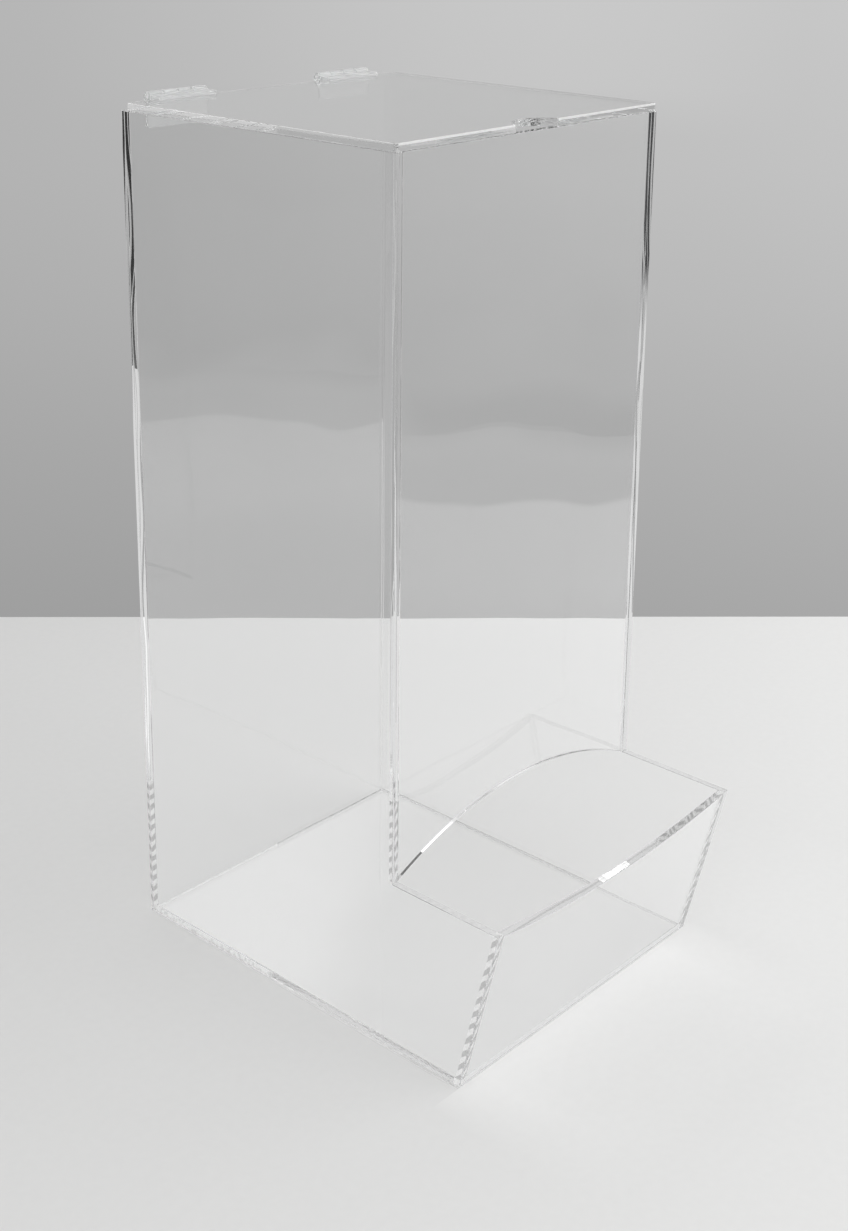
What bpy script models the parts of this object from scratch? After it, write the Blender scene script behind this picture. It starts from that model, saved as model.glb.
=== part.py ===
"""Counter-top candy dispenser glued up from clear acrylic sheet, with a lid on two small clear hinges.

The front faces -Y, +Z is up, and the origin lies on the table under the middle of the whole piece.
The two side panels run from the tower forward past the bin. The base, the back, the front and the
bin's lip fit between them. The lid lies on top and swings up and over the back.
"""

import math

import bmesh
import bpy

# Driving dimensions of the sheet work
SHEET = 0.003
WIDTH = 0.150
TOWER_DEPTH = 0.145
OVERALL_HEIGHT = 0.355
BIN_HEIGHT = 0.0735
BIN_FLOOR_REACH = 0.0345
BIN_RIM_REACH = 0.0525
MOUTH_RISE = 0.017
LIP_DIP = 0.007
EDGE_EASE = 0.0002
CEMENT_LINE = 0.00015
LID_SEAT_GAP = 0.0002

# Driving dimensions of the lid
LID_CORNER_RADIUS = 0.0015
THUMB_NOTCH_WIDTH = 0.024
THUMB_NOTCH_DEPTH = 0.008

# Driving dimensions of the hinges
HINGE_LENGTH = 0.030
HINGE_INSET = 0.0135
HINGE_AXIS_OFFSET = 0.00075
BARREL_RADIUS = 0.002
LEAF_THICKNESS = 0.0012
LID_LEAF_REACH = 0.008
BODY_LEAF_REACH = 0.012
LEAF_CORNER_RADIUS = 0.001
LEAF_EDGE_EASE = 0.0001
WEB_STEP = 0.00015
KNUCKLE_COUNT = 4
KNUCKLE_GAP = 0.0003
KNUCKLE_CLEARANCE = 0.0003
PIN_RADIUS = 0.0008
PIN_CLEARANCE = 0.0001

# How finely the round shapes are cut
ARC_STEPS = 48
CORNER_STEPS = 4
ROUND_SIDES = 32
EASE_STEPS = 2
EASE_ANGLE = math.radians(30)

# Places that follow from the dimensions above
BACK_OVERHANG = HINGE_AXIS_OFFSET + BARREL_RADIUS
OVERALL_DEPTH = BIN_RIM_REACH + TOWER_DEPTH + BACK_OVERHANG
TOWER_FRONT = BIN_RIM_REACH - OVERALL_DEPTH / 2
TOWER_BACK = TOWER_FRONT + TOWER_DEPTH
HALF_WIDTH = WIDTH / 2
INNER_HALF_WIDTH = HALF_WIDTH - SHEET
FITTED_HALF_WIDTH = INNER_HALF_WIDTH - CEMENT_LINE
LID_UNDERSIDE = OVERALL_HEIGHT - SHEET
WALL_TOP = LID_UNDERSIDE - LID_SEAT_GAP
LIP_LEAN = math.atan2(BIN_RIM_REACH - BIN_FLOOR_REACH, BIN_HEIGHT)
LIP_WALL_LEVEL = SHEET / math.cos(LIP_LEAN)
AXIS_Y = TOWER_BACK + HINGE_AXIS_OFFSET
AXIS_Z = OVERALL_HEIGHT + HINGE_AXIS_OFFSET
HINGE_X = HALF_WIDTH - HINGE_INSET - HINGE_LENGTH / 2

# A piece drawn flat is turned so that its own X and Y lie along these ways
FLAT = (0.0, 0.0, 0.0)
FACING_FRONT = (math.radians(90), 0.0, 0.0)
FACING_SIDE = (math.radians(90), 0.0, math.radians(90))
LID_LEAF_TURN = (0.0, 0.0, math.radians(180))
BODY_LEAF_TURN = (math.radians(-90), 0.0, 0.0)


def clear_scene():
    for old in list(bpy.data.objects):
        bpy.data.objects.remove(old, do_unlink=True)


def clear_plastic(name, colour, roughness, ior):
    """A see-through plastic; every piece gets its own."""
    material = bpy.data.materials.new(name)
    material.use_nodes = True
    shader = material.node_tree.nodes["Principled BSDF"]
    shader.inputs["Base Color"].default_value = colour
    shader.inputs["Roughness"].default_value = roughness
    shader.inputs["Metallic"].default_value = 0.0
    shader.inputs["IOR"].default_value = ior
    shader.inputs["Transmission Weight"].default_value = 1.0
    material.diffuse_color = colour
    return material


def cast_acrylic(name):
    return clear_plastic(name + "_acrylic", (0.96, 0.98, 0.98, 1.0), 0.02, 1.49)


def moulded_plastic(name):
    return clear_plastic(name + "_moulded", (0.97, 0.98, 0.98, 1.0), 0.06, 1.52)


def add_object(name, mesh_maker, location, rotation, material):
    """Makes the mesh in the piece's own frame and places the piece by location and rotation."""
    mesh = bpy.data.meshes.new(name)
    shape = bmesh.new()
    mesh_maker(shape)
    bmesh.ops.recalc_face_normals(shape, faces=shape.faces)
    shape.to_mesh(mesh)
    shape.free()
    mesh.materials.append(material)
    mesh.shade_smooth()
    mesh.set_sharp_from_angle(angle=EASE_ANGLE)
    piece = bpy.data.objects.new(name, mesh)
    piece.location = location
    piece.rotation_euler = rotation
    bpy.context.scene.collection.objects.link(piece)
    return piece


def add_helper(name, mesh_maker, location, rotation, parent, material):
    helper = add_object(name, mesh_maker, location, rotation, material)
    helper.parent = parent
    helper.hide_render = True
    helper.display_type = "WIRE"
    return helper


def ease_edges(piece, width):
    """Takes the sharpness off the sawn or moulded edges."""
    bevel = piece.modifiers.new("Eased edges", "BEVEL")
    bevel.width = width
    bevel.segments = EASE_STEPS
    bevel.limit_method = "ANGLE"
    bevel.angle_limit = EASE_ANGLE


def extrude_outline(shape, outline, thickness):
    """A flat sheet of this outline, lying on the piece's XY plane and this thick along +Z."""
    bottom = [shape.verts.new((x, y, 0.0)) for x, y in outline]
    face = shape.faces.new(bottom)
    extruded = bmesh.ops.extrude_face_region(shape, geom=[face])
    top = [item for item in extruded["geom"] if isinstance(item, bmesh.types.BMVert)]
    bmesh.ops.translate(shape, vec=(0.0, 0.0, thickness), verts=top)


def add_sheet(name, outline, location, rotation):
    def make(shape):
        extrude_outline(shape, outline, SHEET)

    piece = add_object(name, make, location, rotation, cast_acrylic(name))
    ease_edges(piece, EDGE_EASE)
    return piece


def shallow_arc(half_span, height, steps):
    """Points of the circular arc over a chord of twice half_span, from -X to +X, rising by height."""
    radius = (half_span**2 + height**2) / (2 * height)
    half_angle = math.asin(half_span / radius)
    if height > half_span:
        half_angle = math.pi - half_angle
    points = []
    for step in range(steps + 1):
        angle = half_angle * (2 * step / steps - 1)
        points.append((radius * math.sin(angle), radius * math.cos(angle) - radius + height))
    return points


def rounded_corner(corner_x, corner_y, radius, start_angle):
    """Points of a quarter circle inside the corner, turning anticlockwise from start_angle."""
    middle = start_angle + math.radians(45)
    centre_x = corner_x - math.sqrt(2) * radius * math.cos(middle)
    centre_y = corner_y - math.sqrt(2) * radius * math.sin(middle)
    points = []
    for step in range(CORNER_STEPS + 1):
        angle = start_angle + math.radians(90) * step / CORNER_STEPS
        points.append((centre_x + radius * math.cos(angle), centre_y + radius * math.sin(angle)))
    return points


def side_outline():
    """The L of a side panel, in Y and Z: the tower's full height, and the bin's leaning front edge."""
    return [
        (TOWER_BACK, 0.0),
        (TOWER_BACK, WALL_TOP),
        (TOWER_FRONT, WALL_TOP),
        (TOWER_FRONT, BIN_HEIGHT),
        (TOWER_FRONT - BIN_RIM_REACH, BIN_HEIGHT),
        (TOWER_FRONT - BIN_FLOOR_REACH, 0.0),
    ]


def front_outline():
    """The tower's front above the bin, in X and Z, with the mouth's arch as its lower edge."""
    arch = shallow_arc(FITTED_HALF_WIDTH, MOUTH_RISE, ARC_STEPS)
    lower = [(x, BIN_HEIGHT + rise) for x, rise in arch]
    return lower + [(FITTED_HALF_WIDTH, WALL_TOP), (-FITTED_HALF_WIDTH, WALL_TOP)]


def back_outline():
    return [
        (-FITTED_HALF_WIDTH, 0.0),
        (FITTED_HALF_WIDTH, 0.0),
        (FITTED_HALF_WIDTH, WALL_TOP),
        (-FITTED_HALF_WIDTH, WALL_TOP),
    ]


def lid_outline():
    """The lid in X and Y from the hinge axis, with the thumb notch in its front edge."""
    back = TOWER_BACK - SHEET - AXIS_Y
    front = TOWER_FRONT - AXIS_Y
    half_notch = THUMB_NOTCH_WIDTH / 2
    notch = [(x, front + rise) for x, rise in shallow_arc(half_notch, THUMB_NOTCH_DEPTH, ARC_STEPS // 2)]
    outline = rounded_corner(-HALF_WIDTH, front, LID_CORNER_RADIUS, math.radians(180))
    outline += notch
    outline += rounded_corner(HALF_WIDTH, front, LID_CORNER_RADIUS, math.radians(270))
    outline += rounded_corner(HALF_WIDTH, back, LID_CORNER_RADIUS, math.radians(0))
    outline += rounded_corner(-HALF_WIDTH, back, LID_CORNER_RADIUS, math.radians(90))
    return outline


def lip_inner_y(height):
    """How far in front of the lip's foot line its inner face lies at this height."""
    return LIP_WALL_LEVEL - height * math.tan(LIP_LEAN)


def build_base():
    """The floor between the walls, its front edge cut to the lean of the lip."""
    foot = TOWER_FRONT - BIN_FLOOR_REACH
    back = TOWER_BACK - SHEET - CEMENT_LINE
    front_low = foot + lip_inner_y(0.0) + CEMENT_LINE
    front_high = foot + lip_inner_y(SHEET) + CEMENT_LINE
    section = [(back, 0.0), (back, SHEET), (front_high, SHEET), (front_low, 0.0)]

    def make(shape):
        extrude_outline(shape, section, 2 * FITTED_HALF_WIDTH)

    piece = add_object(
        "base_panel", make, (-FITTED_HALF_WIDTH, 0.0, 0.0), FACING_SIDE, cast_acrylic("base_panel")
    )
    ease_edges(piece, EDGE_EASE)


def build_walls():
    for name, x in (("left_side_panel", -HALF_WIDTH), ("right_side_panel", INNER_HALF_WIDTH)):
        add_sheet(name, side_outline(), (x, 0.0, 0.0), FACING_SIDE)
    add_sheet("back_panel", back_outline(), (0.0, TOWER_BACK, 0.0), FACING_FRONT)
    add_sheet("front_panel", front_outline(), (0.0, TOWER_FRONT + SHEET, 0.0), FACING_FRONT)


def build_lip():
    """The bin's leaning front, level at its foot and dipped along its top edge."""
    slope_length = BIN_HEIGHT / math.cos(LIP_LEAN) - SHEET * math.tan(LIP_LEAN)
    along = (-math.sin(LIP_LEAN), math.cos(LIP_LEAN))
    inward = (math.cos(LIP_LEAN) * SHEET, math.sin(LIP_LEAN) * SHEET)

    def make(shape):
        rows = []
        for x, rise in shallow_arc(FITTED_HALF_WIDTH, LIP_DIP, ARC_STEPS):
            length = slope_length - rise
            outer_top = (along[0] * length, along[1] * length)
            inner_top = (outer_top[0] + inward[0], outer_top[1] + inward[1])
            corners = [(0.0, 0.0), (LIP_WALL_LEVEL, 0.0), inner_top, outer_top]
            rows.append([shape.verts.new((x, y, z)) for y, z in corners])
        for row, following in zip(rows, rows[1:]):
            for low in range(4):
                high = (low + 1) % 4
                shape.faces.new((row[low], row[high], following[high], following[low]))
        shape.faces.new(rows[0])
        shape.faces.new(rows[-1])

    foot = TOWER_FRONT - BIN_FLOOR_REACH
    piece = add_object("bin_lip", make, (0.0, foot, 0.0), FLAT, cast_acrylic("bin_lip"))
    ease_edges(piece, EDGE_EASE)


def add_rod(shape, radius, start, end):
    """A round rod along X between start and end, capped at both ends."""
    rim = []
    for side in range(ROUND_SIDES):
        angle = 2 * math.pi * side / ROUND_SIDES
        rim.append(shape.verts.new((start, radius * math.cos(angle), radius * math.sin(angle))))
    face = shape.faces.new(rim)
    extruded = bmesh.ops.extrude_face_region(shape, geom=[face])
    far = [item for item in extruded["geom"] if isinstance(item, bmesh.types.BMVert)]
    bmesh.ops.translate(shape, vec=(end - start, 0.0, 0.0), verts=far)


def add_boolean(piece, operation, helper):
    modifier = piece.modifiers.new(operation.title() + " " + helper.name, "BOOLEAN")
    modifier.operation = operation
    modifier.solver = "EXACT"
    modifier.object = helper


def knuckle_section(low, high, end):
    """The barrel's round and the web that runs from it to end, between low and high, in Y and Z."""
    first = math.asin(high / BARREL_RADIUS)
    last = 2 * math.pi + math.asin(low / BARREL_RADIUS)
    section = []
    for side in range(ROUND_SIDES + 1):
        angle = first + (last - first) * side / ROUND_SIDES
        section.append((BARREL_RADIUS * math.cos(angle), BARREL_RADIUS * math.sin(angle)))
    return section + [(end, low), (end, high)]


def hinge_leaf(name, reach, parent, location, rotation):
    """A moulded leaf: a plate with every other knuckle of the barrel.

    In its own frame the pin runs along X, the plate lies along +Y and its glued face looks to -Z.
    """
    material = moulded_plastic(name)
    glued = CEMENT_LINE - HINGE_AXIS_OFFSET
    outer = glued + LEAF_THICKNESS
    root = BARREL_RADIUS + KNUCKLE_CLEARANCE
    half_length = HINGE_LENGTH / 2
    pitch = HINGE_LENGTH / KNUCKLE_COUNT

    def make_plate(shape):
        outline = [(-half_length, root), (half_length, root)]
        outline += rounded_corner(half_length, reach, LEAF_CORNER_RADIUS, math.radians(0))
        outline += rounded_corner(-half_length, reach, LEAF_CORNER_RADIUS, math.radians(90))
        extrude_outline(shape, outline, LEAF_THICKNESS)
        bmesh.ops.translate(shape, vec=(0.0, 0.0, glued), verts=shape.verts)

    leaf = add_object(name, make_plate, location, rotation, material)
    leaf.parent = parent
    ease_edges(leaf, LEAF_EDGE_EASE)
    section = knuckle_section(glued + WEB_STEP, outer - WEB_STEP, root + LEAF_THICKNESS / 2)

    def make_knuckle(shape):
        extrude_outline(shape, section, pitch - KNUCKLE_GAP)

    def make_bore(shape):
        add_rod(shape, PIN_RADIUS + PIN_CLEARANCE, -HINGE_LENGTH, HINGE_LENGTH)

    for station in range(0, KNUCKLE_COUNT, 2):
        start = (station * pitch - half_length + KNUCKLE_GAP / 2, 0.0, 0.0)
        knuckle = add_helper(f"{name}_knuckle_{station}", make_knuckle, start, FACING_SIDE, leaf, material)
        ease_edges(knuckle, LEAF_EDGE_EASE)
        add_boolean(leaf, "UNION", knuckle)
    bore = add_helper(f"{name}_bore", make_bore, (0.0, 0.0, 0.0), FLAT, leaf, material)
    add_boolean(leaf, "DIFFERENCE", bore)


def build_hinges(lid_axis, body):
    for side, x in (("left", -HINGE_X), ("right", HINGE_X)):
        place = (x, AXIS_Y, AXIS_Z)
        hinge_leaf(f"{side}_hinge_lid_leaf", LID_LEAF_REACH, lid_axis, (x, 0.0, 0.0), LID_LEAF_TURN)
        hinge_leaf(f"{side}_hinge_body_leaf", BODY_LEAF_REACH, body, place, BODY_LEAF_TURN)

        def make_pin(shape):
            add_rod(shape, PIN_RADIUS, -HINGE_LENGTH / 2, HINGE_LENGTH / 2)

        name = f"{side}_hinge_pin"
        add_object(name, make_pin, place, FLAT, moulded_plastic(name))


def build_lid(lid_axis):
    lid = add_sheet("lid", lid_outline(), (0.0, 0.0, LID_UNDERSIDE - AXIS_Z), FLAT)
    lid.parent = lid_axis


def add_empty(name, location):
    empty = bpy.data.objects.new(name, None)
    empty.location = location
    bpy.context.scene.collection.objects.link(empty)
    return empty


def main():
    clear_scene()
    lid_axis = add_empty("lid_hinge_axis", (0.0, AXIS_Y, AXIS_Z))
    body = add_empty("body", (0.0, 0.0, 0.0))
    build_base()
    build_walls()
    build_lip()
    build_lid(lid_axis)
    build_hinges(lid_axis, body)


main()
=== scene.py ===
"""Clear acrylic candy dispenser: finishes for its sheets, joints and hinges, and a pale table to stand on.

Sizes are in metres, +Z is up and the front faces -Y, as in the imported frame.
"""

import functools
import math

import bmesh
import bpy
from bpy.props import FloatProperty, FloatVectorProperty, PointerProperty
from mathutils import Matrix, Vector


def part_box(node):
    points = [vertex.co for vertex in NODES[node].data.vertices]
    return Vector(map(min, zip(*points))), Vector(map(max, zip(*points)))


bl_info = {
    "name": "Acrylic candy dispenser",
    "version": (1, 0, 0),
    "blender": (4, 5, 0),
    "location": "3D Viewport > Sidebar > Dispenser",
    "description": "Finishes the candy dispenser in clear acrylic and stands it on a pale table",
    "category": "Object",
}

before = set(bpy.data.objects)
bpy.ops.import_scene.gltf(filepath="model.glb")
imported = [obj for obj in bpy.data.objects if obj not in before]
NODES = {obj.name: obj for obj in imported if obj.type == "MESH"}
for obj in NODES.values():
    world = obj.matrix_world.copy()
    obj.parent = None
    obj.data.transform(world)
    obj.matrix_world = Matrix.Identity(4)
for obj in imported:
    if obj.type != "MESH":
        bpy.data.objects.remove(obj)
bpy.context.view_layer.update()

# Ways through the object, and the places that its sheets meet at
SIDEWAYS = (1.0, 0.0, 0.0)
BACKWARDS = (0.0, 1.0, 0.0)
UPWARDS = (0.0, 0.0, 1.0)
BASE_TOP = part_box("base_panel")[1].z
BIN_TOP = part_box("bin_lip")[1].z
LID_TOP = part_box("lid")[1].z
FRONT_NEAR, FRONT_FAR = (corner.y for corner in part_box("front_panel"))
BACK_NEAR, BACK_FAR = (corner.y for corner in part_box("back_panel"))
HALF_SHEET = (BACK_FAR - BACK_NEAR) / 2
INNER_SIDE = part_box("lid")[1].x - HALF_SHEET
LIP_LEAN = math.radians(13.76)
LIP_THROUGH = (0.0, math.cos(LIP_LEAN), math.sin(LIP_LEAN))
LIP_MIDDLE = Vector(LIP_THROUGH).dot((0.0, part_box("left_side_panel")[0].y, BIN_TOP)) + HALF_SHEET
LIP_INNER = LIP_MIDDLE + HALF_SHEET
FOOT_FRONT = (LIP_MIDDLE - HALF_SHEET) / math.cos(LIP_LEAN)

# Where the side panels' inner faces meet the front, the back, the base and the lip
ANYWHERE = 1.0
WALL_JOINTS = (
    ((BACKWARDS, FRONT_NEAR, FRONT_FAR), (UPWARDS, BIN_TOP, ANYWHERE)),
    ((BACKWARDS, BACK_NEAR, ANYWHERE),),
    ((UPWARDS, -ANYWHERE, BASE_TOP), (LIP_THROUGH, LIP_INNER, ANYWHERE)),
    ((LIP_THROUGH, -ANYWHERE, LIP_INNER),),
)

HINGE_LEAVES = (
    "left_hinge_lid_leaf",
    "left_hinge_body_leaf",
    "right_hinge_lid_leaf",
    "right_hinge_body_leaf",
)
HINGE_PINS = ("left_hinge_pin", "right_hinge_pin")


# The values that a noise mostly keeps between
NOISE_REACH = (0.3, 0.7)


def grey(shade):
    return (shade, shade, shade, 1.0)


def opaque(colour):
    return (*colour, 1.0)


class NodeGraph:
    """Short ways to add and join the nodes of one material, lamp or world."""

    def __init__(self, tree):
        self.tree = tree
        tree.nodes.clear()

    def add(self, kind, **settings):
        node = self.tree.nodes.new(kind)
        for name, value in settings.items():
            setattr(node, name, value)
        return node

    def feed(self, socket, value):
        """Sets a socket to a plain value, or joins another node's output to it."""
        if isinstance(value, bpy.types.NodeSocket):
            self.tree.links.new(value, socket)
        else:
            socket.default_value = value

    def feed_all(self, node, values):
        """Feeds a node's inputs in their order, or by name."""
        if isinstance(values, dict):
            for name, value in values.items():
                self.feed(node.inputs[name], value)
        else:
            for socket, value in zip(node.inputs, values):
                self.feed(socket, value)

    def shader(self, kind, values):
        """The output of a new shader or bump whose inputs are fed."""
        node = self.add(kind)
        self.feed_all(node, values)
        return node.outputs[0]

    def mix(self, share, first, second):
        """The first shader where share is 0, and the second where it is 1."""
        return self.shader("ShaderNodeMixShader", (share, first, second))

    def finish(self, kind, surface):
        """Joins a shader to the output."""
        output = self.add(kind)
        self.feed(output.inputs["Surface"], surface)

    def math(self, operation, *values):
        node = self.add("ShaderNodeMath", operation=operation)
        self.feed_all(node, values)
        return node.outputs["Value"]

    def product(self, *values):
        return functools.reduce(lambda one, other: self.math("MULTIPLY", one, other), values)

    def largest(self, *values):
        return functools.reduce(lambda one, other: self.math("MAXIMUM", one, other), values)

    def at_least(self, turns, count):
        """1 for a ray with count turns or more."""
        return self.math("GREATER_THAN", turns, count - 0.5)

    def fewer(self, turns, count):
        """1 for a ray with fewer turns than count."""
        return self.math("LESS_THAN", turns, count - 0.5)

    def vector(self, operation, *values):
        node = self.add("ShaderNodeVectorMath", operation=operation)
        self.feed_all(node, values)
        return node.outputs["Value" if operation in ("DOT_PRODUCT", "LENGTH") else "Vector"]

    def along(self, place, way):
        """How far a place lies along a way."""
        return self.vector("DOT_PRODUCT", place, way)

    def level_way(self, place):
        """The level way from the origin towards a place."""
        return self.vector("NORMALIZE", self.vector("MULTIPLY", place, (1.0, 1.0, 0.0)))

    def within(self, place, way, low, high):
        """1 where the place, measured along way, lies between low and high."""
        reach = self.along(place, way)
        return self.product(self.math("GREATER_THAN", reach, low), self.math("LESS_THAN", reach, high))

    def span(self, value, low, high, to_low=0.0, to_high=1.0):
        """Maps low..high to to_low..to_high and stops at the ends."""
        node = self.add("ShaderNodeMapRange", clamp=True)
        given = {"Value": value, "From Min": low, "From Max": high, "To Min": to_low, "To Max": to_high}
        self.feed_all(node, given)
        return node.outputs["Result"]

    def blend(self, factor, first, second, mode="MIX"):
        node = self.add("ShaderNodeMix", data_type="RGBA", blend_type=mode)
        self.feed_all(node, {"Factor": factor, "A": first, "B": second})
        return node.outputs["Result"]

    def times(self, first, second):
        return self.blend(1.0, first, second, "MULTIPLY")

    def plus(self, first, second):
        return self.blend(1.0, first, second, "ADD")

    def noise(self, place, scale, detail=2.0):
        node = self.add("ShaderNodeTexNoise")
        self.feed_all(node, {"Vector": place, "Scale": scale, "Detail": detail})
        return node.outputs["Fac"]

    def spread(self, noise, low, high):
        """Spreads the usual values of a noise over low..high."""
        return self.span(noise, *NOISE_REACH, low, high)

    def ramp(self, value, stops):
        """A grey ramp through (place, shade) stops."""
        node = self.add("ShaderNodeValToRGB")
        elements = node.color_ramp.elements
        while len(elements) < len(stops):
            elements.new(0.5)
        for element, (place, shade) in zip(elements, stops):
            element.position = place
            element.color = grey(shade)
        self.feed(node.inputs["Fac"], value)
        return node.outputs["Color"]


class SheetLooks(bpy.types.PropertyGroup):
    """The cast acrylic sheet."""

    tint: FloatVectorProperty(
        name="Tint",
        description="Colour that light takes on as it passes a face of the sheet",
        subtype="COLOR",
        size=3,
        min=0.0,
        max=1.0,
        default=(0.996, 0.997, 0.997),
    )
    ripple: FloatProperty(
        name="Ripple",
        description="Height of the long, low waves of cast sheet",
        default=0.0004,
        min=0.0,
        unit="LENGTH",
        precision=5,
    )
    ripple_length: FloatProperty(
        name="Ripple length",
        description="Distance from one wave to the next",
        default=0.048,
        min=0.01,
        unit="LENGTH",
    )


class StageLooks(bpy.types.PropertyGroup):
    """The table and the lamps."""

    table_colour: FloatVectorProperty(
        name="Table",
        description="Colour of the table top",
        subtype="COLOR",
        size=3,
        min=0.0,
        max=1.0,
        default=(0.80, 0.80, 0.795),
    )
    key_place: FloatVectorProperty(
        name="Key lamp",
        description="Where the wide softbox at the front right hangs; it faces the dispenser",
        subtype="TRANSLATION",
        size=3,
        default=(1.54, -1.11, 1.055),
        unit="LENGTH",
    )
    key_power: FloatProperty(
        name="Key power",
        description="Light of the wide softbox, in watts",
        default=12.5,
        min=0.0,
    )
    fill_place: FloatVectorProperty(
        name="Fill lamp",
        description="Where the large softbox in front of the dispenser hangs; it faces the dispenser",
        subtype="TRANSLATION",
        size=3,
        default=(0.75, -1.9, 1.25),
        unit="LENGTH",
    )
    fill_power: FloatProperty(
        name="Fill power",
        description="Light of the large softbox, in watts",
        default=13.0,
        min=0.0,
    )
    rim_place: FloatVectorProperty(
        name="Rim lamp",
        description="Where the small softbox behind the dispenser hangs; it faces the dispenser",
        subtype="TRANSLATION",
        size=3,
        default=(-1.145, 1.59, 1.08),
        unit="LENGTH",
    )
    rim_power: FloatProperty(
        name="Rim power",
        description="Light of the small softbox, in watts",
        default=2.0,
        min=0.0,
    )


class DispenserLooks(bpy.types.PropertyGroup):
    """Everything that a user would change."""

    sheet: PointerProperty(type=SheetLooks)
    stage: PointerProperty(type=StageLooks)


CAMERA_PLACE = Vector((-0.52236, -0.46317, 0.44884))
CAMERA_RIGHT = Vector((0.670646, -0.741705, 0.010417))
CAMERA_UP = Vector((0.211327, 0.204505, 0.955782))
CAMERA_FORWARD = Vector((0.711038, 0.638789, -0.293893))
CAMERA_LENS = 53.49
CAMERA_SHIFT = -0.165


def add_camera():
    data = bpy.data.cameras.new("photographers_camera")
    data.lens = CAMERA_LENS
    data.shift_y = CAMERA_SHIFT
    data.clip_start = 0.01
    data.clip_end = 50.0
    camera = bpy.data.objects.new("photographers_camera", data)
    turn = Matrix((CAMERA_RIGHT, CAMERA_UP, -CAMERA_FORWARD)).transposed().to_4x4()
    camera.matrix_world = Matrix.Translation(CAMERA_PLACE) @ turn
    bpy.context.scene.collection.objects.link(camera)
    bpy.context.scene.camera = camera


# Level ways across the picture: to its right, away from its front, to the lamps' side, and to the window
ACROSS = (0.6707, -0.7417, 0.0)
AWAY = (0.743, 0.669, 0.0)
LAMP_SIDE = (0.74, -0.67, 0.0)
WINDOW_SIDE = (0.906, -0.423, 0.0)

# Turns that a ray has taken once it ran the length of a sheet, and how far sideways such rays leave
# along the back panel and along a side panel
LONG_WAY_TURNS = 13
ALONG_BACK = 0.617
ALONG_SIDE = 0.815
WAY_SPREAD = 0.03


def piped(graph, way, turns):
    """Light that ran the length of a sheet: masks for all of it, its dark ways, and its bright way."""
    flat = graph.level_way(way)
    right = graph.along(flat, SIDEWAYS)
    sidelong = graph.math("ABSOLUTE", right)
    along_back = graph.math("COMPARE", sidelong, ALONG_BACK, WAY_SPREAD)
    along_side = graph.math("COMPARE", sidelong, ALONG_SIDE, WAY_SPREAD)
    long_way = graph.at_least(turns, LONG_WAY_TURNS)
    behind = graph.math("GREATER_THAN", graph.along(flat, BACKWARDS), 0.0)
    wallward = graph.product(behind, graph.math("GREATER_THAN", right, 0.0))
    elsewhere = graph.math("SUBTRACT", 1.0, wallward)
    dark_ways = graph.product(graph.largest(along_back, along_side), long_way, elsewhere)
    bright_way = graph.product(along_back, long_way, wallward)
    return long_way, dark_ways, bright_way


# Spans say from where to where, and those with four numbers also the values at their ends. Ramps say
# (place, shade). The first run from straight down at 0 to straight up at 1, and the wall's is in greys
# from 0 to 255, the others in light.
MIDDLE = (-0.5, 0.5)
WALL_LIGHT_TILT = (-0.4, -0.08, 0.27, 0.45)
WALL_GREYS = (
    (0.0, 216),
    (0.255, 214),
    (0.30, 162.5),
    (0.346, 172.5),
    (0.383, 181),
    (0.419, 187),
    (0.456, 190.5),
    (0.50, 194),
    (0.75, 215),
    (1.0, 235),
)
ROOM = ((0.0, 0.55), (0.36, 0.45), (0.5, 0.48), (0.6, 0.55), (0.66, 0.9), (0.7, 1.2), (1.0, 1.3))
LIT_SIDE = (
    (0.0, 0.9),
    (0.34, 0.1),
    (0.352, 0.1),
    (0.357, 0.13),
    (0.3622, 0.35),
    (0.3735, 0.41),
    (0.3816, 0.465),
    (0.3935, 0.52),
    (0.4012, 0.52),
    (0.4175, 0.61),
    (0.5, 0.7),
    (0.9, 1.0),
)
DIM_SIDE = ((0.0, 0.8), (0.3, 0.5), (0.38, 0.12), (0.42, 0.05), (0.6, 0.12), (0.9, 0.95))
FAR_END = ((0.0, 0.6), (0.345, 0.6), (0.37, 0.03), (0.455, 0.03), (0.46, 0.45), (0.64, 0.55), (0.66, 0.9))

# Ramps from left to right: the pool of light low on the wall, and the ceiling with its window
POOL = ((0.0, 0.0), (0.24, 0.45), (0.375, 0.76), (0.54, 0.96), (0.69, 1.0), (0.85, 0.6), (1.0, 0.0))
POOL_WIDTH = (-0.2, 0.2)
POOL_RISE = (-0.145, -0.12, 0.0, 0.085)
CEILING = (
    (0.0, 0.55),
    (0.38, 0.4),
    (0.42, 0.02),
    (0.625, 0.02),
    (0.645, 1.5),
    (0.83, 1.5),
    (0.86, 0.6),
    (1.0, 0.6),
)

# Where the room's parts lie: what is overhead and darkens to the right, the far corner with its light,
# the two sides, the ceiling, and the window's glow with the strip of lit floor beside it
OVERHEAD = (0.25, 0.4)
DARKENING = (-0.08, 0.12, 1.3, 0.4)
CORNER_START = (0.45, 0.5)
CORNER_END = (0.57, 0.6, 1.0, 0.0)
CORNER_RIGHT = (0.33, 0.37)
CORNER_LIGHT = (0.57, 0.63, 0.9, 0.45)
TO_LIT_SIDE = (0.55, 0.82)
TO_DIM_SIDE = (-0.7, -0.88)
TO_CEILING = (0.64, 0.68)
WINDOW_GLOW = (0.88, 0.96, 0.45, 1.0)
LIT_FLOOR = (0.366, 0.3715, 0.3, 0.0)
LIT_FLOOR_END = (0.909, 0.918, 1.0, 0.0)

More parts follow.
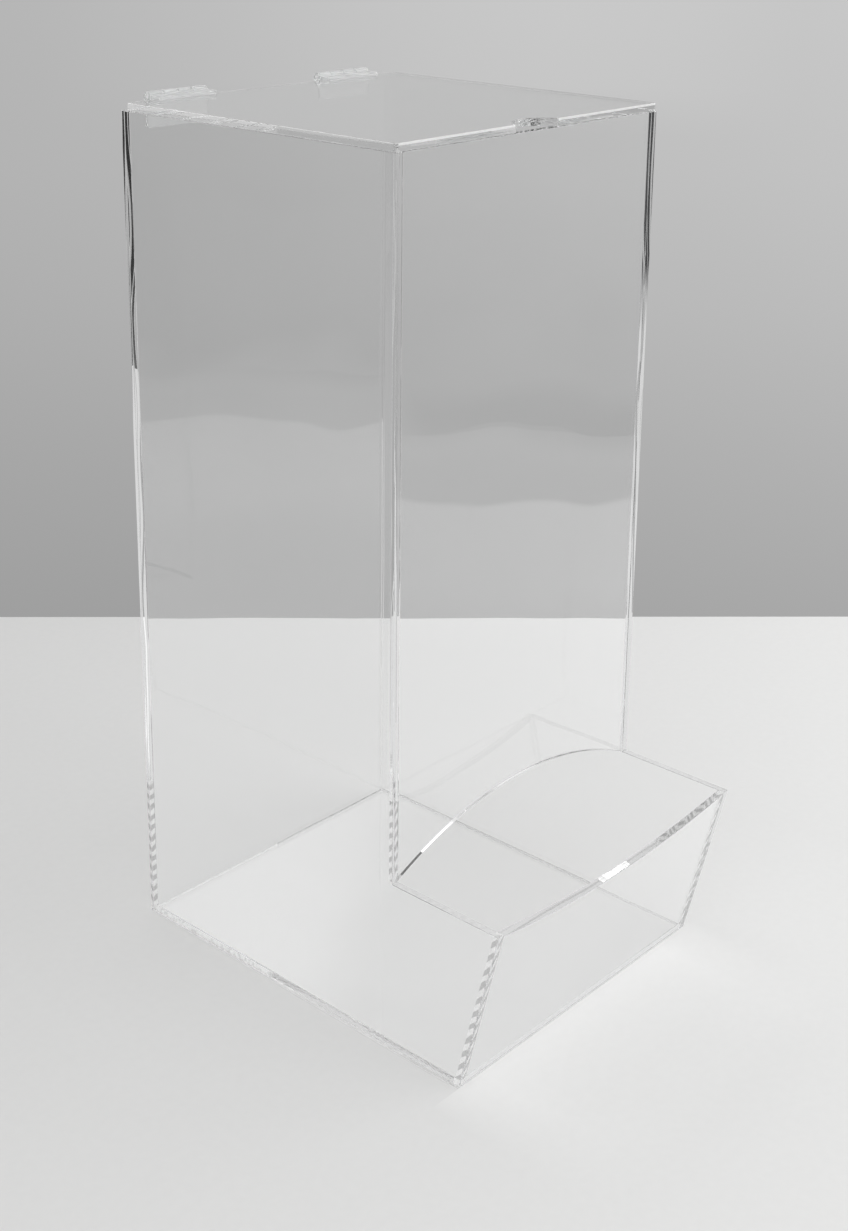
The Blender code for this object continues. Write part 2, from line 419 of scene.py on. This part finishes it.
# A small skylight that whitens the lip's top edge, and a lamp strip that whitens the lid's upper corner
SKYLIGHT_WAY = (0.701, 0.2, 0.684)
SKYLIGHT = (0.9989, 0.9993, 0.0, 9.0)
STRIP_BACK = (0.29, 0.365)
STRIP_RISE = (0.485, 0.615)
STRIP_RIGHT = 0.6
STRIP_LIGHT = 3.3

# Light that reaches the object's matt parts, the wall's share from the second turn on, and the light
# that comes down the length of a sheet
PLAIN_LIGHT = 0.74
TO_WALL = (1.2, 2.2)
WALL_IN_GLOSS = 0.92
SHEET_END_RISE = (0.2, 0.3)
SHEET_END_LIGHT = 0.85


def level(srgb):
    """The linear light of a grey from 0 to 255."""
    share = srgb / 255
    return share / 12.92 if share <= 0.04045 else ((share + 0.055) / 1.055) ** 2.4


def wall_for_the_eye(graph, place, rise, sideways):
    """The wall that the camera sees, with painted light: paler upwards and to the right, with a pool of
    light.
    """
    # Painted light: the wall pales upwards and to the right, with a pool of light low on it
    slope = graph.span(rise, *WALL_LIGHT_TILT)
    painted_tilt = graph.math("MULTIPLY_ADD", graph.span(sideways, *MIDDLE, *MIDDLE), slope, 1.0)
    pool = graph.ramp(graph.span(sideways, *POOL_WIDTH), POOL)
    painted_tilt = graph.math("MULTIPLY_ADD", pool, graph.span(rise, *POOL_RISE), painted_tilt)
    return graph.times(graph.ramp(place, [(stop, level(shade)) for stop, shade in WALL_GREYS]), painted_tilt)


def lit_side(graph, place, direction):
    """The room's side with the lamps: brightest towards the window, with a strip of lit floor beside it."""
    windowward = graph.along(direction, WINDOW_SIDE)
    lit = graph.times(graph.ramp(place, LIT_SIDE), graph.span(windowward, *WINDOW_GLOW))
    floor = graph.product(graph.span(place, *LIT_FLOOR), graph.span(windowward, *LIT_FLOOR_END))
    return graph.plus(lit, floor)


def room_in_the_gloss(graph, place, direction, rise, sideways):
    """The room that the object's faces and edges mirror once."""
    back = graph.along(direction, BACKWARDS)
    right = graph.along(direction, SIDEWAYS)
    lampward = graph.along(direction, LAMP_SIDE)
    overhead = graph.span(rise, *OVERHEAD)
    fall = graph.blend(overhead, grey(1.0), graph.span(sideways, *DARKENING))
    room = graph.times(graph.ramp(place, ROOM), fall)
    far_corner = graph.product(
        graph.span(back, *CORNER_START),
        graph.span(back, *CORNER_END),
        graph.span(right, *CORNER_RIGHT),
        overhead,
    )
    room = graph.blend(far_corner, room, graph.span(rise, *CORNER_LIGHT))
    room = graph.blend(graph.span(lampward, *TO_LIT_SIDE), room, lit_side(graph, place, direction))
    room = graph.blend(graph.span(lampward, *TO_DIM_SIDE), room, graph.ramp(place, DIM_SIDE))
    ceiling = graph.ramp(graph.span(right, *MIDDLE), CEILING)
    room = graph.blend(graph.span(rise, *TO_CEILING), room, ceiling)
    room = graph.plus(room, graph.span(graph.along(direction, SKYLIGHT_WAY), *SKYLIGHT))
    strip = graph.product(
        graph.within(direction, BACKWARDS, *STRIP_BACK),
        graph.within(direction, UPWARDS, *STRIP_RISE),
        graph.math("GREATER_THAN", right, STRIP_RIGHT),
    )
    return graph.blend(strip, room, grey(STRIP_LIGHT))


def paint_wall():
    """A grey wall that pales upwards as painted light for the eye, plain light for the object, and a dim room
    in its gloss.
    """
    world = bpy.data.worlds.new("studio_wall")
    world.use_nodes = True
    graph = NodeGraph(world.node_tree)
    direction = graph.add("ShaderNodeTexCoord").outputs["Generated"]
    rise = graph.along(direction, UPWARDS)
    sideways = graph.along(direction, ACROSS)
    place = graph.span(rise, -1.0, 1.0)
    wall = wall_for_the_eye(graph, place, rise, sideways)
    room = room_in_the_gloss(graph, place, direction, rise, sideways)
    rays = graph.add("ShaderNodeLightPath")
    turns = rays.outputs["Glossy Depth"]
    room = graph.blend(graph.span(turns, *TO_WALL), room, graph.times(wall, grey(WALL_IN_GLOSS)))
    long_way, dark_ways, _ = piped(graph, direction, turns)
    sheet_end = graph.product(long_way, graph.span(rise, *SHEET_END_RISE))
    room = graph.blend(sheet_end, room, grey(SHEET_END_LIGHT))
    room = graph.blend(dark_ways, room, graph.ramp(place, FAR_END))
    seen = graph.blend(graph.at_least(turns, 1), wall, room)
    scattered = graph.at_least(rays.outputs["Diffuse Depth"], 1)
    seen = graph.blend(scattered, seen, grey(PLAIN_LIGHT))
    graph.finish("ShaderNodeOutputWorld", graph.shader("ShaderNodeBackground", {"Color": seen}))
    bpy.context.scene.world = world


# The table's corners, how little it lies under the dispenser's foot, and its painted shade, gloss and grain
TABLE_OUTLINE = ((-1.6, 2.17), (-3.0, 0.6), (-0.45, -1.62), (0.76, -0.311))
TABLE_DROP = 0.0003
PAINTED_SHADE_ACROSS = (-0.5, 0.5, 0.82, 1.05)
PAINTED_SHADE_AWAY = (-0.1, 0.8, 1.0, 0.93)
BOARD_ROUGHNESS = 0.75
BOARD_GLOSS = 0.2
BOARD_GRAIN = (0.993, 1.007)
BOARD_GRAIN_SCALE = 260.0

# The light that the lip throws on the table, painted into its colour: how far before the foot it starts, how
# much it adds from there to the foot, its left and right ends, and a faint spot of light at the right one
THROWN_REACH = 0.08
THROWN_LIGHT = (
    (0.0, 0.0),
    (0.29, 0.03),
    (0.475, 0.05),
    (0.64, 0.09),
    (0.775, 0.13),
    (0.875, 0.172),
    (0.94, 0.2),
)
THROWN_LEFT = (-0.09, -0.062)
THROWN_RIGHT = (0.055, 0.082, 1.0, 0.0)
LIGHT_SPOT_PLACE = (0.1, FOOT_FRONT - 0.02, 0.0)
LIGHT_SPOT_FADE = (0.0, 0.09, 0.04, 0.0)

# The table's reflection, painted as a glow that the gloss mirrors once: a ramp towards the lamps, with
# a shallow painted shade dip near the dispenser and one at the far edge before the window. Later turns
# see a plain glow.
MIRRORED_REACH = (-2.0, 0.8)
PAINTED_TABLE_GLOW = (
    (0.0, 0.05),
    (0.357, 0.28),
    (0.446, 0.6),
    (0.554, 0.8),
    (0.714, 0.85),
    (0.75, 0.9),
    (0.786, 1.1),
    (0.821, 1.12),
    (0.875, 1.25),
    (0.911, 1.2),
    (0.93, 1.17),
    (0.9315, 0.57),
    (0.957, 0.58),
    (0.971, 0.64),
    (0.984, 0.54),
    (0.992, 0.35),
)
NEAR_SHADE_DIP = (0.0, 0.05, 0.0, -0.1)
NEAR_SHADE_DIP_END = (0.36, 0.42, 1.0, 0.0)
EDGE_SHADE_DIP = (0.7, 0.75, 0.0, -0.25)
BEFORE_WINDOW = (0.945, 0.978)
PLAIN_TABLE_GLOW = 0.7

# The table as the far ends of sheets show it, painted as a glow: near black on their dark ways from this
# far behind the dispenser's right back corner, and white on their bright way
FAR_FROM_CORNER = (0.92, 1.2)
PAINTED_DARK_END = (0.03, 0.03, 0.032)


def board_grain_and_painted_light(graph, place):
    """The table's painted light and shade: paler to the right, darker far away, and bright where the lip
    throws light; and its grain.
    """
    sideways = graph.along(place, ACROSS)
    depth = graph.along(place, AWAY)
    # Painted shade: the table's colour is paler to the right and darker far away
    shade = graph.product(graph.span(sideways, *PAINTED_SHADE_ACROSS), graph.span(depth, *PAINTED_SHADE_AWAY))
    ahead = graph.along(place, BACKWARDS)
    right = graph.along(place, SIDEWAYS)
    # Painted light: the lip's thrown light and a faint spot of it, added to the table's colour
    painted_thrown_light = graph.product(
        graph.ramp(graph.span(ahead, FOOT_FRONT - THROWN_REACH, FOOT_FRONT), THROWN_LIGHT),
        graph.math("LESS_THAN", ahead, FOOT_FRONT),
        graph.span(right, *THROWN_LEFT),
        graph.span(right, *THROWN_RIGHT),
    )
    from_light_spot = graph.vector("LENGTH", graph.vector("SUBTRACT", place, LIGHT_SPOT_PLACE))
    painted_thrown_light = graph.math("ADD", painted_thrown_light, graph.span(from_light_spot, *LIGHT_SPOT_FADE))
    shade = graph.math("MULTIPLY_ADD", shade, painted_thrown_light, shade)
    grain = graph.spread(graph.noise(place, BOARD_GRAIN_SCALE), *BOARD_GRAIN)
    return graph.product(shade, grain)


def painted_table_reflection(graph, place, turns):
    """A glow that paints the table's reflection in the object's faces, with painted shade dips."""
    lampward = graph.along(place, LAMP_SIDE)
    before_window = graph.span(graph.along(graph.level_way(place), WINDOW_SIDE), *BEFORE_WINDOW)
    shade_dip = graph.product(graph.span(lampward, *NEAR_SHADE_DIP), graph.span(lampward, *NEAR_SHADE_DIP_END))
    shade_dip = graph.math("MULTIPLY_ADD", before_window, graph.span(lampward, *EDGE_SHADE_DIP), shade_dip)
    shade = graph.ramp(graph.span(lampward, *MIRRORED_REACH), PAINTED_TABLE_GLOW)
    once = graph.times(shade, graph.math("ADD", shade_dip, 1.0))
    glow = graph.blend(graph.at_least(turns, 2), once, grey(PLAIN_TABLE_GLOW))
    return graph.shader("ShaderNodeEmission", {"Color": glow})


def table_top(colour):
    """Matt coated board for the eye, a glow that paints its reflection in the object's gloss, and painted
    light and shade where the far ends of sheets show it.
    """
    material = bpy.data.materials.new("table_board")
    material.use_nodes = True
    graph = NodeGraph(material.node_tree)
    place = graph.add("ShaderNodeTexCoord").outputs["Object"]
    rays = graph.add("ShaderNodeLightPath")
    turns = rays.outputs["Glossy Depth"]
    base_colour = graph.times(opaque(colour), board_grain_and_painted_light(graph, place))
    board = graph.shader(
        "ShaderNodeBsdfPrincipled",
        {"Base Color": base_colour, "Roughness": BOARD_ROUGHNESS, "Specular IOR Level": BOARD_GLOSS},
    )
    # Painted reflection: rays that a face has mirrored see the table as a glow, not as the lit board
    mirrored = graph.at_least(turns, 1)
    direct = graph.fewer(rays.outputs["Diffuse Depth"], 1)
    look = graph.mix(graph.product(mirrored, direct), board, painted_table_reflection(graph, place, turns))
    # Painted shade and highlight: a near black or white glow where light that ran along a sheet meets the
    # table
    from_corner = graph.vector("SUBTRACT", place, (INNER_SIDE, BACK_FAR, 0.0))
    far = graph.span(graph.vector("LENGTH", from_corner), *FAR_FROM_CORNER)
    _, dark_ways, bright_way = piped(graph, from_corner, turns)
    painted_end_colour = graph.blend(bright_way, opaque(PAINTED_DARK_END), grey(1.0))
    painted_end_glow = graph.shader("ShaderNodeEmission", {"Color": painted_end_colour})
    share = graph.largest(graph.product(dark_ways, far), bright_way)
    graph.finish("ShaderNodeOutputMaterial", graph.mix(graph.product(share, direct), look, painted_end_glow))
    return material


def lay_table(colour):
    mesh = bpy.data.meshes.new("table")
    shape = bmesh.new()
    corners = [shape.verts.new((x, y, -TABLE_DROP)) for x, y in TABLE_OUTLINE]
    shape.faces.new(corners)
    bmesh.ops.recalc_face_normals(shape, faces=shape.faces)
    shape.to_mesh(mesh)
    shape.free()
    mesh.materials.append(table_top(colour))
    table = bpy.data.objects.new("table", mesh)
    bpy.context.scene.collection.objects.link(table)


# Width and height of the softboxes, and their brightness straight on and after one turn
KEY_SIZE = (0.9, 0.35)
FILL_SIZE = (0.9, 0.6)
RIM_SIZE = (0.25, 0.25)
SOFTBOX_GLOSS = (0.5, 0.6, 1.0, 0.2)


def hang_softbox(name, size, place, power):
    """A softbox that faces the dispenser; only the first mirror on a ray's way shows it, and dimly."""
    data = bpy.data.lights.new(name, "AREA")
    data.shape = "RECTANGLE"
    data.size, data.size_y = size
    data.energy = power
    data.use_nodes = True
    graph = NodeGraph(data.node_tree)
    turns = graph.add("ShaderNodeLightPath").outputs["Glossy Depth"]
    shown = graph.fewer(turns, 2)
    share = graph.span(turns, *SOFTBOX_GLOSS)
    glow = graph.shader("ShaderNodeEmission", {"Strength": graph.product(shown, share)})
    graph.finish("ShaderNodeOutputLight", glow)
    lamp = bpy.data.objects.new(name, data)
    lamp.location = place
    lamp.rotation_euler = Vector(place).to_track_quat("Z", "Y").to_euler()
    bpy.context.scene.collection.objects.link(lamp)


# Fingers of air up the joints: their pitch, drift and edges, how high they climb, and how much lower
# they stay at the front
FINGER_PITCH = 0.005
FINGER_DRIFT = 4.0
DRIFT_SCALE = 90.0
FINGER_EDGE = (-0.1, 0.1)
FINGER_FADE = (0.058, 0.066, 1.0, 0.0)
FRONT_DROP = (-0.02, 0.02, -0.045, 0.0)

# Froth along the floor's rear joint, a white line at the lip's foot that is a painted highlight, and one blob
# at the tower's front
FROTH_SCALE = 700.0
FROTH = (0.4, 0.46, 0.5, 1.0)
FROTH_START = (0.02, 0.024)
FOOT_HIGHLIGHT_LINE = HALF_SHEET / 3
BLOB_RISE = (0.1075, 0.119)
BLOB_DEPTH = -0.02


def bubbles(graph, place):
    """Air that the cement left low on the joints and at the floor's rear, and a painted highlight along the
    lip's foot: where it is, and its pattern.

    The pattern is slanting fingers up the joints, and froth along the floor.
    """
    height = graph.along(place, UPWARDS)
    depth = graph.along(place, BACKWARDS)
    through_lip = graph.along(place, LIP_THROUGH)
    left = graph.math("LESS_THAN", graph.along(place, SIDEWAYS), 0.0)
    in_floor = graph.math("LESS_THAN", height, BASE_TOP)
    drift = graph.product(graph.noise(place, DRIFT_SCALE), FINGER_DRIFT)
    waves = graph.product(graph.math("ADD", height, depth), 2 * math.pi / FINGER_PITCH)
    fingers = graph.span(graph.math("SINE", graph.math("ADD", waves, drift)), *FINGER_EDGE)
    froth = graph.span(graph.noise(place, FROTH_SCALE, detail=1.0), *FROTH)
    reach = graph.math("ADD", height, graph.span(depth, *FRONT_DROP))
    by_the_lip = graph.math("LESS_THAN", through_lip, LIP_INNER)
    low = graph.product(
        graph.span(reach, *FINGER_FADE),
        graph.math("SUBTRACT", 1.0, in_floor),
        graph.largest(left, by_the_lip),
    )
    rear = graph.product(graph.span(depth, *FROTH_START), in_floor)
    before = graph.math("LESS_THAN", depth, BLOB_DEPTH)
    blob = graph.product(graph.within(place, UPWARDS, *BLOB_RISE), before)
    # Painted highlight: a white cement line along the lip's foot
    foot_highlight = graph.product(graph.math("LESS_THAN", through_lip, LIP_INNER + FOOT_HIGHLIGHT_LINE), in_floor)
    share = graph.largest(low, foot_highlight, graph.product(left, graph.largest(rear, blob)))
    pattern = graph.blend(in_floor, graph.largest(fingers, blob), graph.largest(froth, foot_highlight))
    return share, pattern


# How squarely a face looks along a way to count as facing it
SQUARE_ON = 0.95


def cemented(graph, place, normal, joints):
    """1 on the faces that cement joins to a neighbour.

    Each joint is the way its face looks, and its (way, low, high) limits.
    """
    masks = []
    for facing, limits in joints:
        towards = graph.math("ABSOLUTE", graph.along(normal, facing))
        inside = [graph.within(place, way, low, high) for way, low, high in limits]
        masks.append(graph.product(graph.math("GREATER_THAN", towards, SQUARE_ON), *inside))
    return graph.largest(*masks)


def milk(graph, shade):
    """A white haze that light both bounces off and comes through."""
    front = graph.shader("ShaderNodeBsdfDiffuse", {"Color": shade})
    through = graph.shader("ShaderNodeBsdfTranslucent", {"Color": shade})
    return graph.mix(0.5, front, through)


# The light that cement lets through in the floor's joints, darker there as painted contact shade, and above
# them, and the darkest that its bubbles and their grains get
CEMENT_TINT_AND_FLOOR_SHADE = ((0.0, 0.93), (1.0, 1.0))
CEMENT_FADE = 0.001
BUBBLE_GREY = 0.64
GRAIN_GREY = 0.88
GRAIN_SCALE = 1800.0
GRAIN_EDGE = (0.42, 0.55)


def cement(graph, place):
    """Clear cement, darker in the floor's joints as painted contact shade, with grainy bubbles in white and
    grey and a white painted highlight along the lip's foot.
    """
    # Painted contact shade: the cement lets less light through in the floor's joints
    above_floor = graph.span(graph.along(place, UPWARDS), BASE_TOP, BASE_TOP + CEMENT_FADE)
    tint = graph.ramp(above_floor, CEMENT_TINT_AND_FLOOR_SHADE)
    grains = graph.span(graph.noise(place, GRAIN_SCALE, detail=1.0), *GRAIN_EDGE)
    share, pattern = bubbles(graph, place)
    shade = graph.blend(pattern, grey(BUBBLE_GREY), grey(1.0))
    shade = graph.times(shade, graph.blend(grains, grey(GRAIN_GREY), grey(1.0)))
    return graph.mix(share, graph.shader("ShaderNodeBsdfTransparent", {"Color": tint}), milk(graph, shade))


# The sheet's ripples, and its edges: where a face begins, their tint, roughness and wear
ACRYLIC_IOR = 1.49
RIPPLE_START = (3.3, 0.2, 1.9)
TO_FACE = (0.5, 0.9, 1.0, 0.0)
EDGE_TINT = (0.985, 0.987, 0.987)
EDGE_ROUGHNESS = 0.01
WEAR_SCALE = 420.0

# Sawn edges that look up, and the lid's eased corners whitened as a painted highlight: which faces they are,
# their least wear, their whites, the strip under the front corner, and the thumb notch, which gets less of it
SAWN_FACE = (0.9, 0.95)
SAWN_WEAR = 0.7
SAWN_WHITE = 0.9
HIGHLIGHT_FACE = (0.3, 0.95)
HIGHLIGHT_FRONT = (-0.35, -0.25)
HIGHLIGHT_WEAR = 0.8
HIGHLIGHT_WHITE = 0.97
HIGHLIGHT_STRIP = 0.0008
HALF_NOTCH = 0.0125
NOTCH_LOSS = -0.9


def painted_highlight_share(graph, place, normal, most):
    """Painted highlight on the eased corners round the top: most at the front, with a strip below, and a
    third elsewhere.
    """
    backward = graph.along(normal, BACKWARDS)
    corner = graph.product(
        graph.within(normal, UPWARDS, *HIGHLIGHT_FACE),
        graph.span(backward, *HIGHLIGHT_FRONT, most, most / 3),
    )
    strip = graph.product(
        graph.math("LESS_THAN", backward, -SQUARE_ON),
        graph.within(place, UPWARDS, LID_TOP - HIGHLIGHT_STRIP, ANYWHERE),
        most,
    )
    notch = graph.within(place, SIDEWAYS, -HALF_NOTCH, HALF_NOTCH)
    kept = graph.math("MULTIPLY_ADD", notch, NOTCH_LOSS, 1.0)
    return graph.product(graph.largest(corner, strip), kept)


def clear_acrylic(name, sheet, face_axis, shadow, joints=(), ripple=1.0, haze=0.0, painted_highlight=0.0):
    """Clear cast sheet: long low ripples on its faces, polished edges, and faces joined by clear cement.

    face_axis is the way that the sheet's two broad faces look, in the piece's own frame, shadow is the
    share of the lamps' light that a face lets through, ripple scales the ripples, haze whitens the sawn
    edges that look up, and painted_highlight whitens the eased corners round the top as a painted
    highlight, most of all the front one.
    """
    material = bpy.data.materials.new(name)
    material.use_nodes = True
    graph = NodeGraph(material.node_tree)
    source = graph.add("ShaderNodeTexCoord")
    place = source.outputs["Object"]
    normal = source.outputs["Normal"]
    outward = graph.along(normal, face_axis)
    edge = graph.span(graph.math("ABSOLUTE", outward), *TO_FACE)
    waves = graph.noise(graph.vector("ADD", place, RIPPLE_START), 1.0 / sheet.ripple_length, detail=0.0)
    turns = graph.add("ShaderNodeLightPath").outputs["Glossy Depth"]
    ripples = {
        "Strength": graph.fewer(turns, 1),
        "Distance": sheet.ripple * ripple,
        "Height": graph.product(waves, outward),
    }
    wear = graph.noise(place, WEAR_SCALE, detail=3.0)
    plastic = {
        "Base Color": graph.blend(edge, opaque(sheet.tint), opaque(EDGE_TINT)),
        "Roughness": graph.product(edge, graph.spread(wear, 0.0, EDGE_ROUGHNESS)),
        "IOR": ACRYLIC_IOR,
        "Transmission Weight": 1.0,
        "Normal": graph.shader("ShaderNodeBump", ripples),
    }
    look = graph.shader("ShaderNodeBsdfPrincipled", plastic)
    if haze:
        upward = graph.span(graph.along(normal, UPWARDS), *SAWN_FACE, 0.0, haze)
        share = graph.product(upward, graph.spread(wear, SAWN_WEAR, 1.0))
        look = graph.mix(share, look, milk(graph, grey(SAWN_WHITE)))
    if painted_highlight:
        # Painted highlight: white haze on the lid's eased corners, most at the front
        corners = painted_highlight_share(graph, place, normal, painted_highlight)
        share = graph.product(corners, graph.spread(wear, HIGHLIGHT_WEAR, 1.0))
        look = graph.mix(share, look, milk(graph, grey(HIGHLIGHT_WHITE)))
    if joints:
        look = graph.mix(cemented(graph, place, normal, joints), look, cement(graph, place))
    finish_clear(graph, look, grey(shadow))
    return material


def finish_clear(graph, look, shadow_tint):
    """Joins a clear shader to the output, and lets the lamps' light through it in shadows."""
    shadow = graph.shader("ShaderNodeBsdfTransparent", {"Color": shadow_tint})
    rays = graph.add("ShaderNodeLightPath").outputs
    unseen = graph.largest(rays["Is Shadow Ray"], rays["Is Diffuse Ray"])
    graph.finish("ShaderNodeOutputMaterial", graph.mix(unseen, look, shadow))


# Moulded plastic: its tints from one flow line to the next, its haze's white, and its shadow
MOULDED_IOR = 1.52
FLOW_SCALE = 350.0
FLOW_TINTS = ((0.97, 0.975, 0.975), (0.99, 0.99, 0.99))
MOULDED_WHITE = 0.97
MOULDED_SHADOW = (0.85, 0.86, 0.86)


def moulded_plastic(name, roughness, haze):
    """Clear moulded plastic with a faint flow pattern; haze is its milky share."""
    material = bpy.data.materials.new(name)
    material.use_nodes = True
    graph = NodeGraph(material.node_tree)
    place = graph.add("ShaderNodeTexCoord").outputs["Object"]
    flow = graph.noise(place, FLOW_SCALE)
    plastic = {
        "Base Color": graph.blend(flow, *map(opaque, FLOW_TINTS)),
        "Roughness": graph.spread(flow, 0.0, roughness),
        "IOR": MOULDED_IOR,
        "Transmission Weight": 1.0,
    }
    clear = graph.shader("ShaderNodeBsdfPrincipled", plastic)
    look = graph.mix(haze, clear, milk(graph, grey(MOULDED_WHITE)))
    finish_clear(graph, look, opaque(MOULDED_SHADOW))
    return material


def give_finish(node_name, material):
    """Puts a material in every slot of a frame piece."""
    for slot in NODES[node_name].material_slots:
        slot.material = material


# Light passes many faces of the sheets, and is mirrored many times inside them
MOST_TURNS = 96
MOST_PASSES = 48
MOST_MIRRORS = 72


class DISPENSER_OT_set_stage(bpy.types.Operator):
    """Set the camera, the wall, the table and the lamps"""

    bl_idname = "dispenser.set_stage"
    bl_label = "Set the stage"

    def execute(self, context):
        looks = context.scene.dispenser_looks.stage
        add_camera()
        paint_wall()
        lay_table(looks.table_colour)
        hang_softbox("key_softbox", KEY_SIZE, looks.key_place, looks.key_power)
        hang_softbox("fill_softbox", FILL_SIZE, looks.fill_place, looks.fill_power)
        hang_softbox("rim_softbox", RIM_SIZE, looks.rim_place, looks.rim_power)
        cycles = context.scene.cycles
        cycles.max_bounces = MOST_TURNS
        cycles.transmission_bounces = MOST_PASSES
        cycles.glossy_bounces = MOST_MIRRORS
        cycles.transparent_max_bounces = MOST_PASSES
        return {"FINISHED"}


# Shares of the lamps' light that the standing sheets, the base and the lid let through
STANDING_SHADOW = 0.94
BASE_SHADOW = 1.0
LID_SHADOW = 0.97

# Haze on the side panels' sawn edges, and the lid's low ripples and the painted highlight on its eased
# corners
SIDE_HAZE = 0.45
LID_RIPPLE = 0.1
LID_HIGHLIGHT = 0.9


class DISPENSER_OT_finish_sheets(bpy.types.Operator):
    """Finish the base, the walls and the bin's lip in clear cast acrylic"""

    bl_idname = "dispenser.finish_sheets"
    bl_label = "Finish the sheets"

    def execute(self, context):
        sheet = context.scene.dispenser_looks.sheet
        inner_face = (SIDEWAYS, -INNER_SIDE, INNER_SIDE)
        side_joints = [(SIDEWAYS, (inner_face, *limits)) for limits in WALL_JOINTS]
        ends = (SIDEWAYS, ())
        by_the_floor = (UPWARDS, -ANYWHERE, BASE_TOP)
        back_foot = (BACKWARDS, (by_the_floor, (BACKWARDS, -ANYWHERE, BACK_NEAR + HALF_SHEET)))
        lip_foot = (LIP_THROUGH, (by_the_floor, (LIP_THROUGH, LIP_MIDDLE, ANYWHERE)))
        for name, face_axis, shadow, joints, haze in (
            ("left_side_panel", SIDEWAYS, STANDING_SHADOW, side_joints, SIDE_HAZE),
            ("right_side_panel", SIDEWAYS, STANDING_SHADOW, side_joints, SIDE_HAZE),
            ("front_panel", BACKWARDS, STANDING_SHADOW, [ends], 0.0),
            ("back_panel", BACKWARDS, STANDING_SHADOW, [ends, back_foot], 0.0),
            ("base_panel", UPWARDS, BASE_SHADOW, [ends, (BACKWARDS, ())], 0.0),
            ("bin_lip", LIP_THROUGH, STANDING_SHADOW, [ends, lip_foot], 0.0),
        ):
            give_finish(name, clear_acrylic(name + "_acrylic", sheet, face_axis, shadow, joints, haze=haze))
        return {"FINISHED"}


class DISPENSER_OT_finish_lid(bpy.types.Operator):
    """Finish the lid in clear cast acrylic"""

    bl_idname = "dispenser.finish_lid"
    bl_label = "Finish the lid"

    def execute(self, context):
        sheet = context.scene.dispenser_looks.sheet
        acrylic = clear_acrylic(
            "lid_acrylic", sheet, UPWARDS, LID_SHADOW, ripple=LID_RIPPLE, painted_highlight=LID_HIGHLIGHT
        )
        give_finish("lid", acrylic)
        return {"FINISHED"}


# Roughness and haze of the hinges' leaves and pins
LEAF_LOOKS = (0.03, 0.3)
PIN_LOOKS = (0.02, 0.0)


class DISPENSER_OT_finish_hinges(bpy.types.Operator):
    """Finish the hinges' leaves and pins in clear moulded plastic"""

    bl_idname = "dispenser.finish_hinges"
    bl_label = "Finish the hinges"

    def execute(self, context):
        for names, looks in ((HINGE_LEAVES, LEAF_LOOKS), (HINGE_PINS, PIN_LOOKS)):
            for name in names:
                give_finish(name, moulded_plastic(name + "_moulded", *looks))
        return {"FINISHED"}


class DISPENSER_PT_looks(bpy.types.Panel):
    """The dispenser's finishes and stage"""

    bl_idname = "DISPENSER_PT_looks"
    bl_label = "Candy dispenser"
    bl_space_type = "VIEW_3D"
    bl_region_type = "UI"
    bl_category = "Dispenser"

    def draw(self, context):
        looks = context.scene.dispenser_looks
        for title, group in (("Sheet", looks.sheet), ("Stage", looks.stage)):
            box = self.layout.box()
            box.label(text=title)
            for name in group.__annotations__:
                box.prop(group, name)
        for step in STEPS:
            self.layout.operator(step.bl_idname)


STEPS = (
    DISPENSER_OT_set_stage,
    DISPENSER_OT_finish_sheets,
    DISPENSER_OT_finish_lid,
    DISPENSER_OT_finish_hinges,
)
CLASSES = (SheetLooks, StageLooks, DispenserLooks, *STEPS, DISPENSER_PT_looks)


def register():
    for kind in CLASSES:
        bpy.utils.register_class(kind)
    bpy.types.Scene.dispenser_looks = PointerProperty(type=DispenserLooks)


def unregister():
    del bpy.types.Scene.dispenser_looks
    for kind in reversed(CLASSES):
        bpy.utils.unregister_class(kind)


def main():
    register()
    view = bpy.context.scene.view_settings
    view.view_transform = "Standard"
    bpy.ops.dispenser.set_stage()
    bpy.ops.dispenser.finish_sheets()
    bpy.ops.dispenser.finish_lid()
    bpy.ops.dispenser.finish_hinges()


if __name__ == "__main__":
    main()
